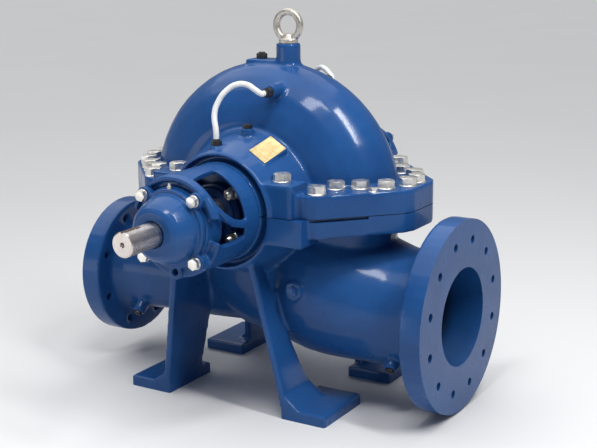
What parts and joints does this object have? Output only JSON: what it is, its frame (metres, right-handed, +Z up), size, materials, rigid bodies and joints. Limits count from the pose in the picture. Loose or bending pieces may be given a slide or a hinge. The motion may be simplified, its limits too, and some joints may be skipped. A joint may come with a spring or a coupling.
{
  "type": "split case pump",
  "caption": "Horizontal split case centrifugal pump: volute casing with opposed pipe flanges, splayed feet, open bearing brackets at both ends and a turning shaft.",
  "frame": {"origin": "on the floor under the middle of the pump's bounding box; the shaft line is 0.392 m above it, at X 0", "axes": "+X along the pipe line towards the suction flange, +Y along the shaft line away from the drive end, +Z up"},
  "size_m": [0.81, 0.9172, 0.7557],
  "materials": {
    "blue_enamel": "glossy",
    "dark_enamel": "satin",
    "bright_steel": "satin",
    "zinc_steel": "satin",
    "black_fitting": "satin",
    "white_tube": "glossy",
    "brass_plate": "satin",
    "gasket_sheet": "matte",
    "thrower_rubber": "matte"
  },
  "bodies": {
    "pump": {"lower_casing": "blue_enamel", "upper_casing": "blue_enamel", "split_gasket_suction": "gasket_sheet", "split_gasket_discharge": "gasket_sheet", "bearing_bracket_drive": "blue_enamel", "bearing_bracket_far": "blue_enamel", "bearing_cover_drive": "blue_enamel", "bearing_cover_far": "blue_enamel", "gland_drive": "dark_enamel", "gland_far": "dark_enamel", "flush_pipe_drive": "white_tube", "flush_pipe_far": "white_tube", "flush_union_drive": "black_fitting", "flush_union_far": "black_fitting", "flush_elbow_drive": "black_fitting", "flush_elbow_far": "black_fitting", "eyebolt": "zinc_steel", "vent_plug": "black_fitting", "chamber_plug_drive": "black_fitting", "chamber_plug_far": "black_fitting", "grease_nipple_drive": "zinc_steel", "grease_nipple_far": "zinc_steel", "suction_gauge_plug": "blue_enamel", "suction_drain_plug": "blue_enamel", "discharge_drain_plug": "blue_enamel", "nameplate": "brass_plate"},
    "rotor": {"shaft": "bright_steel", "shaft_sleeve_drive": "bright_steel", "shaft_sleeve_far": "bright_steel", "thrower_ring_drive": "thrower_rubber", "thrower_ring_far": "thrower_rubber"}
  },
  "joints": [
    {"name": "shaft_spin", "type": "hinge", "parent": "pump", "child": "rotor", "pos_m": [0, 0.03635, 0.392], "axis": [0, 1, 0], "continuous": true}
  ]
}
